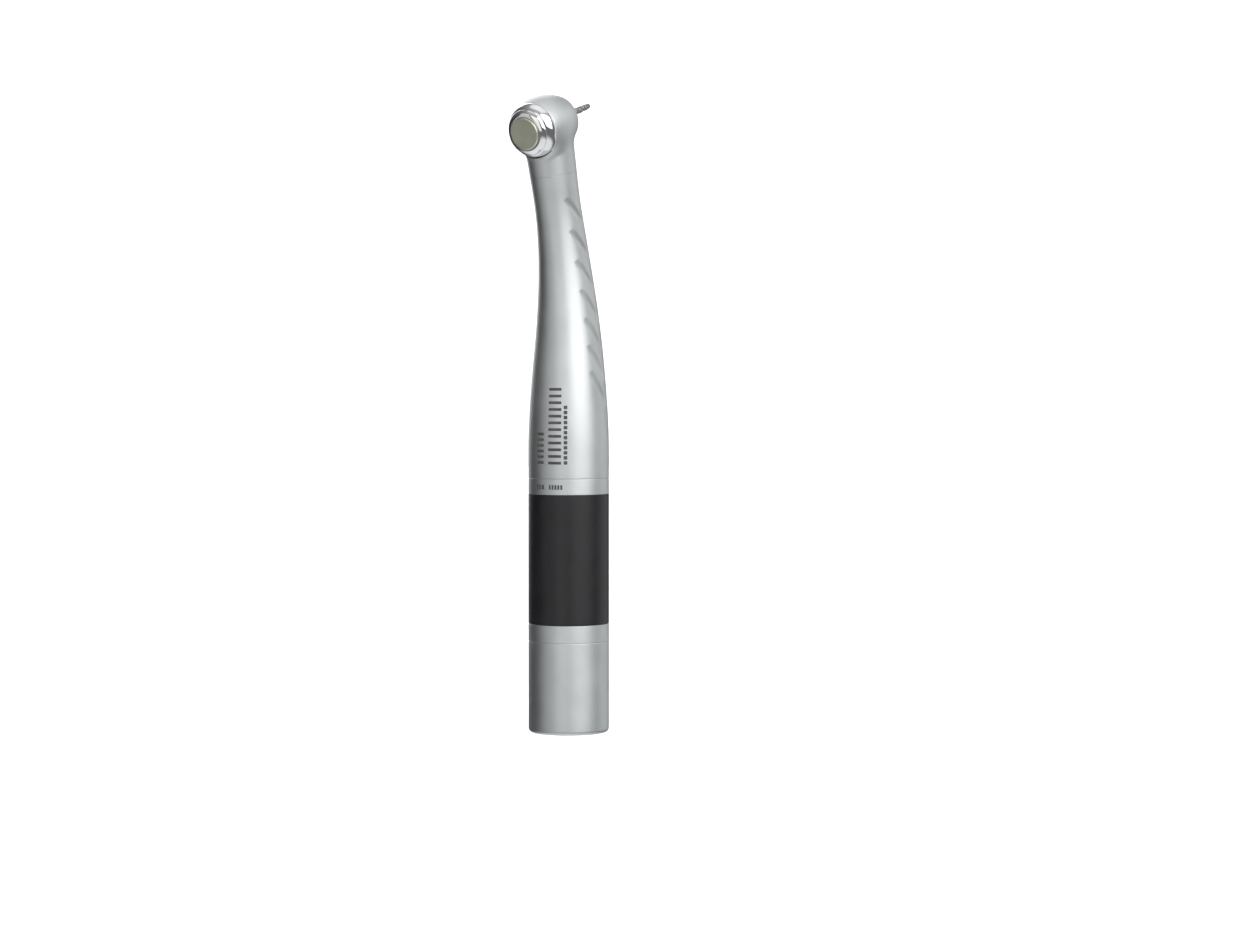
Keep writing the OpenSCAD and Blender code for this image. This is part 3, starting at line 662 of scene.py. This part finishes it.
def make_shell():
    around = 256
    angles = np.arange(around) * 2 * math.pi / around
    first, last = GROOVE_START - 4, JOINT_S - NECK_EDGE
    bevel = np.array([0.0, 0.35, 0.7])
    plain = np.arange(SHELL_BOTTOM + EDGE, first, 0.5)
    fine = np.linspace(first, last, int((last - first) / 0.15))
    s = np.concatenate([SHELL_BOTTOM + EDGE * bevel, plain, fine, JOINT_S - NECK_EDGE * bevel[::-1]])
    drop = 1 - np.sqrt(1 - (1 - bevel) ** 2)
    inset = np.zeros_like(s)
    inset[:len(bevel)], inset[-len(bevel):] = EDGE * drop, NECK_EDGE * drop[::-1]
    centre, ahead, x, y = shell_rows(s, angles, inset)
    cut = groove_depth(s[:, None], angles[None, :], half_sizes(s)[1][:, None])
    x, y = x - cut * np.cos(angles), y - cut * np.sin(angles)
    x = smooth_min(x, (flat_ahead(AXIS_S - s) - inset)[:, None], 0.12)
    outer = centre[:, None] + x[..., None] * ahead[:, None] + y[..., None] * ACROSS
    s_in = np.concatenate([[JOINT_S], np.linspace(JOINT_S - 1, CORE_TOP + 3, 30)])
    c_in, a_in, x_in, y_in = shell_rows(s_in, angles, np.full_like(s_in, SHELL_WALL))
    x_in = smooth_min(x_in, (flat_ahead(AXIS_S - s_in) - SHELL_WALL)[:, None], 0.3)
    inner = c_in[:, None] + x_in[..., None] * a_in[:, None] + y_in[..., None] * ACROSS
    circle = np.stack([np.cos(angles), np.sin(angles)], -1) * (CORE_R + BORE_GAP)
    bore = [np.column_stack([circle, np.full(around, z)]) for z in (CORE_TOP, SHELL_BOTTOM)]
    rows = np.concatenate([outer, inner, np.array(bore)])
    count = len(rows)
    j, i = np.meshgrid(np.arange(count), np.arange(around), indexing="ij")
    following, beside = (j + 1) % count, (i + 1) % around
    here, there = j * around, following * around
    quads = np.stack([here + i, here + beside, there + beside, there + i], -1)
    piece("handle_shell", rows.reshape(-1, 3), quads.reshape(-1, 4), "handle", "handle_shell",
          MATERIALS["satin_chrome"])


PRINT_LIFT = 0.008
# Rows of plain printed blocks along the handle: the row's angle, its width round the handle, its lowest and
# highest point, the number of blocks and the gap between them
ROWS = [
    (-75.5, 2.7, 52.3, 67.0, 12, 0.75),
    (-59.5, 0.7, 52.3, 63.6, 12, 0.3),
    (-99.0, 1.7, 52.4, 58.4, 6, 0.55),
]
# Rows round the front collar: the row's height, its blocks' height, its first and last angle, the number of
# blocks and the gap between them in degrees
COLLAR_ROWS = [(47.9, 0.9, -84.0, -64.0, 5, 1.3), (47.9, 0.9, -107.0, -92.0, 3, 1.3)]
# A plain printed square, as the angle of its middle, its side, its height and the width of its line
SQUARE = (103.0, 3.0, 55.1, 0.22)


def printed_patch(turn, wide, z, tall):
    """A patch of points on the handle with slightly rounded corners. Turn is the azimuth that it faces."""
    steps = 14
    share = np.linspace(-1, 1, steps)
    corner = 0.12 * min(wide, tall)
    past = np.clip(np.abs(share) * tall / 2 - (tall / 2 - corner), 0, corner)
    half = wide / 2 - corner + np.sqrt(corner ** 2 - past ** 2)
    height_at = np.repeat((z + share * tall / 2)[:, None], steps, 1)
    radius = half_sizes(height_at)[0] + PRINT_LIFT
    angle = math.radians(turn) + np.outer(half, share) / HANDLE_R
    points = np.stack([radius * np.sin(angle), -radius * np.cos(angle), height_at], -1)
    faces = [
        [j * steps + i, j * steps + i + 1, (j + 1) * steps + i + 1, (j + 1) * steps + i]
        for j in range(steps - 1) for i in range(steps - 1)
    ]
    return points.reshape(-1, 3), faces


def make_print():
    """The printed marks: rows of plain blocks on one side and a plain square on the other."""
    patches = []
    for turn, wide, low, high, count, gap in ROWS:
        tall = (high - low + gap) / count - gap
        patches += [printed_patch(turn, wide, low + tall / 2 + k * (tall + gap), tall) for k in range(count)]
    for z, tall, start, end, count, gap in COLLAR_ROWS:
        wide = (end - start + gap) / count - gap
        for k in range(count):
            middle = start + wide / 2 + k * (wide + gap)
            patches.append(printed_patch(middle, math.radians(wide) * HANDLE_R, z, tall))
    turn, side, z, line = SQUARE
    reach = (side - line) / 2
    for k in (-1, 1):
        patches.append(printed_patch(turn, side, z + k * reach, line))
        patches.append(printed_patch(turn + k * math.degrees(reach / HANDLE_R), line, z, side - 2 * line))
    points, faces = [], []
    for patch_points, patch_faces in patches:
        faces += [[c + len(points) for c in face] for face in patch_faces]
        points += patch_points.tolist()
    piece("printed_marks", points, faces, "handle", None, print_ink())


make_sleeves()
make_core()
make_shell()
make_print()


# ---------------------------------------------------------------------------------------------------
# Head
# ---------------------------------------------------------------------------------------------------

CAP_R = HEAD_R - BARREL_BOW + math.sqrt(BARREL_BOW ** 2 - (CAP_START - WIDEST) ** 2)
# Bores about the head's axis, as radius and the depths where each starts and ends
HOUSING_BORES = [
    (1.70, -1.0, 2.6), (2.52, 1.35, 2.0), (3.32, 1.6, 4.2), (4.37, 4.1, 7.2), (4.55, 7.2, 10.5),
]
# Bore and spigot about the neck's axis, as radius and the drops where each starts and ends
NECK_BORE = (2.85, 7.0, 20.0)
NECK_TOP = 1.0
SPIGOT = (3.25, 8.5, 13.5)
FIT_GAP = 0.02
CAP_GAP = 0.06
WINDOW_FLOOR = 3.0
# Radii of the housing's rounded edges, and the blends from neck to barrel behind and under the head
NOSE_ROUND = 0.5
FLAT_ROUND = 0.16
JOINT_ROUND = 0.04
PLATE_ROUND = 0.12
WINDOW_ROUND = 0.06
NECK_BLEND = 1.3
CHIN_BLEND = 0.8


def rod(radius, along, rod_r, start, end):
    """Distance from a rod's surface, given each point's distance from its axis and place along it."""
    return np.maximum(radius - rod_r, np.maximum(start - along, along - end))


def housing_field(p):
    """Signed distance from the head housing's surface, negative inside, for points of shape (count, 3)."""
    to_face = FACE_MID - p
    depth = to_face @ HEAD_AXIS
    radius = np.hypot(to_face @ HEAD_DOWN, to_face[:, 1])
    side = np.hypot(radius - (HEAD_R - BARREL_BOW), depth - WIDEST) - BARREL_BOW
    barrel = smooth_max(smooth_max(side, -depth, NOSE_ROUND), depth - CAP_START, CAP_EDGE)
    from_mid = p - HEAD_MID
    drop = -(from_mid @ NECK_UP)
    ahead = from_mid @ NECK_AHEAD
    across = p[:, 1]
    in_plane, sideways = half_sizes(AXIS_S - drop)
    reach = np.sqrt((ahead / in_plane) ** 2 + (across / sideways) ** 2) + 1e-9
    slope = np.sqrt((ahead / in_plane ** 2) ** 2 + (across / sideways ** 2) ** 2) / reach + 1e-9
    flat = smooth_min(drop - CHIN_DROP, ahead - flat_ahead(drop), CHIN_COVE)
    neck = smooth_max((reach - 1) / slope, flat, FLAT_ROUND)
    neck = np.maximum(smooth_max(neck, drop - NECK_JOINT, JOINT_ROUND), NECK_TOP - drop)
    under = ease((ahead - 1.0) / 2.5)
    body = smooth_min(barrel, neck, NECK_BLEND + (CHIN_BLEND - NECK_BLEND) * under)
    neck_r = np.hypot(ahead, across)
    body = np.minimum(body, rod(neck_r, drop, *SPIGOT))
    body = smooth_max(body, -np.maximum(radius - PLATE_R - FIT_GAP, depth - PLATE_T), PLATE_ROUND)
    body = np.maximum(body, -np.maximum(radius - CAP_R - CAP_GAP, CAP_START - depth))
    for bore in HOUSING_BORES:
        body = np.maximum(body, -rod(radius, depth, *bore))
    body = np.maximum(body, -rod(neck_r, drop, *NECK_BORE))
    window = np.hypot(drop - WINDOW_MID, across) - WINDOW_R - FIT_GAP
    return smooth_max(body, -np.maximum(window, WINDOW_FLOOR - ahead), WINDOW_ROUND)


def slopes(field, p, reach=0.01):
    """The field's gradient by central differences."""
    steps = np.eye(3) * reach
    return np.stack([(field(p + d) - field(p - d)) / (2 * reach) for d in steps], -1)


def make_housing():
    step = 0.13
    low, high = (np.array(corner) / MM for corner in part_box("head_housing"))
    low, high = low - 4 * step, high + 4 * step
    axes = [np.arange(low[k], high[k] + step, step) for k in range(3)]
    grid = np.stack(np.meshgrid(*axes, indexing="ij"), -1)
    field = housing_field(grid.reshape(-1, 3)).reshape(grid.shape[:3])
    points, quads = surface_nets(field, low, step)
    for _ in range(4):
        slope = slopes(housing_field, points)
        gap = housing_field(points) / np.maximum((slope ** 2).sum(1), 0.25)
        points = points - np.clip(gap, -step / 2, step / 2)[:, None] * slope
    slope = slopes(housing_field, points, 0.03)
    normals = slope / np.maximum(np.linalg.norm(slope, axis=1), 1e-9)[:, None]
    piece("head_housing", points, quads, "handle", "head_housing",
          MATERIALS["satin_chrome"], normals)


SPRAY_R = 0.18
SPRAY_CIRCLE = 3.3
PLATE_BORE = 1.65


def make_face_plate():
    """The front plate, with a chamfered rim and three spray holes."""
    outline = rounded([
        (PLATE_BORE, -PLATE_T, 0), (PLATE_R - 0.01, -PLATE_T, 0), (PLATE_R - 0.01, -0.2, 0.04),
        (PLATE_R - 0.24, 0, 0.05), (PLATE_BORE, 0, 0.12),
    ])
    points, faces = revolve(outline, FACE_MID, HEAD_AXIS, HEAD_DOWN)
    holes = []
    sideways, past = np.cross(HEAD_AXIS, HEAD_DOWN), 0.5
    for turn in (60, 180, 300):
        a = math.radians(turn)
        mid = FACE_MID + SPRAY_CIRCLE * (HEAD_DOWN * math.cos(a) + sideways * math.sin(a))
        holes.append((mid - HEAD_AXIS * (PLATE_T + past), mid + HEAD_AXIS * past, SPRAY_R, ACROSS))
    points, faces = drilled(points, faces, holes)
    piece("face_plate", points, faces, "handle", "face_plate", MATERIALS["plate_metal"])


# Depth of the cap's lip, which keeps the button in
CAP_LIP = 11.33


def make_cap():
    band_r, band_turn = 2.3, math.radians(47.6)
    ridge_depth, ridge_r, narrow_r = 11.2, 4.42, 1.75
    wide = [
        (CAP_R - band_r + band_r * math.cos(a), -CAP_START - CAP_EDGE - band_r * math.sin(a), 0)
        for a in np.linspace(0, band_turn, 20)
    ]
    narrow = [
        (ridge_r - narrow_r * (math.cos(math.pi / 6) - math.cos(a)),
         -ridge_depth - narrow_r * (math.sin(a) - math.sin(math.pi / 6)), 0)
        for a in np.linspace(math.pi / 6, math.radians(74), 14)
    ]
    inner_r, floor_front, floor_back, stem_r, rim_r = 3.75, 9.98, 10.3, 2.0, BUTTON_R + 0.07
    seat_r, outer_r = 3.3, 4.5
    outline = [
        (seat_r, -CAP_FRONT, 0), (seat_r, -floor_front, 0), (stem_r, -floor_front, 0),
        (stem_r, -floor_back, 0), (inner_r, -floor_back, 0), (inner_r, -CAP_LIP, 0),
        (rim_r, -CAP_LIP, 0), (rim_r, -CAP_BACK, 0.03),
        *narrow[::-1], (ridge_r - 0.10, -ridge_depth + 0.10, 0.03), *wide[::-1],
        (CAP_R - CAP_EDGE, -CAP_START, 0.01), (outer_r, -CAP_START, 0), (outer_r, -CAP_FRONT, 0),
    ]
    in_head(
        "back_cap", outline[::-1], "handle", "polished_chrome", MATERIALS["polished_chrome"], segments=256)


def make_button():
    stem_back, flange_back, lip_front = 10.57, 10.98, CAP_LIP
    stem_r, recess_r, flange_r = 0.8, 2.6, 3.6
    in_head(
        "push_button",
        [
            (0, -stem_back, 0), (0, -BUTTON_FACE, 0), (BUTTON_R, -BUTTON_FACE, 0.18),
            (BUTTON_R, -lip_front, 0), (flange_r, -lip_front, 0.03), (flange_r, -flange_back, 0.03),
            (recess_r, -flange_back, 0), (recess_r, -lip_front, 0), (stem_r, -lip_front, 0),
            (stem_r, -stem_back, 0.1),
        ],
        "button", "button_metal", MATERIALS["button_metal"], segments=256,
    )


def make_spindle():
    bore_r, journal_r, nose_r = 1.12, 1.5875, 1.35
    start, shoulder, end = 0.3, 1.35, 9.95
    in_head(
        "spindle",
        [
            (bore_r, -end, 0.05), (journal_r, -end, 0.1), (journal_r, -shoulder, 0.03),
            (nose_r, -shoulder, 0), (nose_r, -start, 0.15), (bore_r, -start, 0.05),
        ],
        "rotor", "bearing_steel", MATERIALS["bearing_steel"],
    )


CUTTER_START = 2.2
SHANK_R = 0.8


def make_shank():
    back = depths("bur_shank")[1]
    in_head(
        "bur_shank",
        [(0, -back, 0), (SHANK_R, -back, 0.12), (SHANK_R, CUTTER_START, 0.05), (0, CUTTER_START, 0)],
        "bur", "bur_steel", MATERIALS["bur_steel"], segments=96,
    )


BUR_OUT = -depths("bur_cutter")[0]
TIP_LEN = 1.6
TIP_R = 0.6
TIP_END_R = 0.12
FLUTES = 8
FLUTE_DEPTH = 0.15
FLUTE_TWIST = math.radians(150)
RAKE_SHARE = 0.22
CROSS_CUTS = 11
CROSS_CUT_SHARE = 0.14
CROSS_CUT_DEPTH = 0.07


def make_cutter():
    """The cutting end: raked helical blades broken by cross cuts, then a slimmer pointed tip."""
    around, rows = 192, 240
    body_len = BUR_OUT - CUTTER_START - TIP_LEN
    angle = np.arange(around) * 2 * math.pi / around
    t = np.linspace(0, 1, rows)[:, None]
    base = SHANK_R + (TIP_R - SHANK_R) * t
    phase = (angle * FLUTES / (2 * math.pi)) % 1.0
    rake = np.where(phase < RAKE_SHARE, phase / RAKE_SHARE, 1 - (phase - RAKE_SHARE) / (1 - RAKE_SHARE))
    valley = 1 - rake ** 0.8
    cross = (t * CROSS_CUTS + angle / (2 * math.pi) * 2) % 1.0
    notch = np.clip(1 - np.abs(cross - 0.5) / CROSS_CUT_SHARE, 0, 1)
    fade = ease(t * 12)
    radius = base - fade * (FLUTE_DEPTH * valley + CROSS_CUT_DEPTH * notch * rake)
    turn = angle + FLUTE_TWIST * t
    body = np.stack([radius * np.cos(turn), radius * np.sin(turn), body_len * t + 0 * turn], -1)
    u = np.linspace(0, 1, 48)[1:, None]
    shape = TIP_END_R + (TIP_R - TIP_END_R) * np.sqrt(np.clip(1 - u * u, 0, 1))
    tip_radius = shape - (1 - u) * FLUTE_DEPTH * valley
    turn = angle + FLUTE_TWIST * (1 + u * TIP_LEN / body_len)
    tip_along = body_len + TIP_LEN * u + 0 * turn
    tip = np.stack([tip_radius * np.cos(turn), tip_radius * np.sin(turn), tip_along], -1)
    local = np.concatenate([body, tip])
    rows_all = len(local)
    points = FACE_MID + (local[..., :1] * HEAD_DOWN + local[..., 1:2] * ACROSS
                         + (local[..., 2:] + CUTTER_START) * HEAD_AXIS)
    points = np.concatenate([points.reshape(-1, 3), [FACE_MID + HEAD_AXIS * CUTTER_START],
                             [FACE_MID + HEAD_AXIS * BUR_OUT]])
    first, last = rows_all * around, rows_all * around + 1
    faces = []
    for j in range(rows_all - 1):
        for i in range(around):
            k = (i + 1) % around
            faces.append([j * around + i, j * around + k, (j + 1) * around + k, (j + 1) * around + i])
    for i in range(around):
        k = (i + 1) % around
        faces.append([first, k, i])
        faces.append([last, (rows_all - 1) * around + i, (rows_all - 1) * around + k])
    piece("bur_cutter", points, faces, "bur", "bur_cutter", MATERIALS["bur_carbide"])


def make_window():
    """The light's window, a low lens in the flat under the head."""
    origin = HEAD_MID - NECK_UP * WINDOW_MID + NECK_AHEAD * WINDOW_AHEAD
    turned(
        "light_window",
        [(0, -0.45, 0), (WINDOW_R, -0.45, 0), (WINDOW_R, -0.08, 0.05), (0.3, -0.02, 0), (0, -0.02, 0)],
        "handle", "light_glass", MATERIALS["light_glass"], origin, NECK_AHEAD, ACROSS, segments=64,
    )


make_housing()
make_face_plate()
make_cap()
make_button()
make_spindle()
make_shank()
make_cutter()
make_window()


# ---------------------------------------------------------------------------------------------------
# Studio
# ---------------------------------------------------------------------------------------------------

def pale(name, value, glow):
    """White paper, lit from below as on a light table."""
    made, tree, shader = start_material(name)
    clouds = noise(tree, stretched(tree, (1, 1, 1)), 6.0)
    light = (value, value, value)
    dark = tuple(c * 0.985 for c in light)
    tree.links.new(colours(tree, clouds, dark, light), shader.inputs["Base Color"])
    shader.inputs["Roughness"].default_value = 0.7
    shader.inputs["Emission Color"].default_value = (1, 1, 1, 1)
    shader.inputs["Emission Strength"].default_value = glow
    return made


def make_floor():
    """A pale floor that curves up into a pale wall a few metres away on every side."""
    radius, sweep, wall = 3.2, 0.8, 3.0
    outline = [(0.0, 0.0), (radius - sweep, 0.0)]
    for k in range(1, 17):
        a = math.pi / 2 * k / 16
        outline.append((radius - sweep + sweep * math.sin(a), sweep - sweep * math.cos(a)))
    outline.append((radius, wall))
    around = 96
    angles = [2 * math.pi * i / around for i in range(around)]
    points, faces = [(0.0, 0.0, 0.0)], []
    for r, z in outline[1:]:
        points += [(r * math.cos(a), r * math.sin(a), z) for a in angles]
    for i in range(around):
        k = (i + 1) % around
        faces.append([0, 1 + i, 1 + k])
        for j in range(len(outline) - 2):
            here, there = 1 + j * around, 1 + (j + 1) * around
            faces.append([here + i, there + i, there + k, here + k])
    mesh = bpy.data.meshes.new("floor")
    mesh.from_pydata(points, [], faces)
    mesh.shade_smooth()
    mesh.materials.append(pale("floor", 0.6, 0.78))
    made = bpy.data.objects.new("floor", mesh)
    bpy.context.scene.collection.objects.link(made)
    made.visible_glossy = False


def make_light(name, turn, lift, half_width, tall, radiance, distance=1.2):
    """A soft box. Turn is its angle to the right of the camera, lift its angle above level and half_width
    half the angle that it fills sideways, all in degrees. Tall and distance are in metres."""
    turn, lift = math.radians(AZIMUTH + turn), math.radians(lift)
    way = Vector((math.sin(turn) * math.cos(lift), -math.cos(turn) * math.cos(lift), math.sin(lift)))
    data = bpy.data.lights.new(name, "AREA")
    data.shape = "RECTANGLE"
    data.size, data.size_y = 2 * distance * math.tan(math.radians(half_width)), tall
    data.energy = math.pi * data.size * data.size_y * radiance
    made = bpy.data.objects.new(name, data)
    made.location = Vector((0, 0, 0.06)) + way * distance
    made.rotation_euler = (-way).to_track_quat("-Z", "Y").to_euler()
    bpy.context.scene.collection.objects.link(made)


def make_world():
    """A dim room, brighter overhead, brightest towards the floor and darker behind the camera's left."""
    world = bpy.data.worlds.new("studio")
    world.use_nodes = True
    tree = world.node_tree
    way = add_node(tree, "ShaderNodeTexCoord").outputs["Generated"]
    up = add_node(tree, "ShaderNodeSeparateXYZ", [(0, way)]).outputs["Z"]
    share = add_node(tree, "ShaderNodeMapRange", [("Value", up), ("From Min", -1.0), ("From Max", 1.0)])
    ramp_node = add_node(tree, "ShaderNodeValToRGB", [("Fac", share.outputs["Result"])])
    ramp = ramp_node.color_ramp
    # Share of the way from straight down to straight up, and the light that comes from there
    levels = [(0.0, 0.85), (0.13, 0.8), (0.22, 0.16), (0.55, 0.13), (0.75, 0.35), (1.0, 0.55)]
    ramp.elements[0].position, ramp.elements[1].position = levels[0][0], levels[-1][0]
    for position, level in levels[1:-1]:
        ramp.elements.new(position)
    for element, (position, level) in zip(ramp.elements, levels):
        element.position = position
        element.color = (level, level * 1.01, level * 1.02, 1)
    turn = math.radians(AZIMUTH - 120)
    dark_side = (math.sin(turn), -math.cos(turn), 0.25)
    facing = vector_math(tree, "DOT_PRODUCT", (0, way), (1, dark_side))["Value"]
    shade = remap(tree, facing, 1.0, 0.3, 0.3, 0.9)
    dimmed = vector_math(tree, "SCALE", (0, ramp_node.outputs["Color"]), ("Scale", shade))[0]
    tree.links.new(dimmed, tree.nodes["Background"].inputs["Color"])
    bpy.context.scene.world = world


def make_studio():
    make_world()
    make_light("key", 38, 24, 30, 1.14, 2.25)
    make_light("left_near", -22, 6, 17, 1.2, 0.8)
    make_light("left_far", -62, 6, 15, 1.2, 0.42)
    make_light("right", 118, 10, 24, 1.3, 0.5)
    make_light("rear", 198, 22, 20, 1.2, 1.7)
    make_light("top", 60, 84, 26, 1.1, 0.4)
    bpy.context.scene.view_settings.view_transform = "Standard"


make_floor()
make_studio()
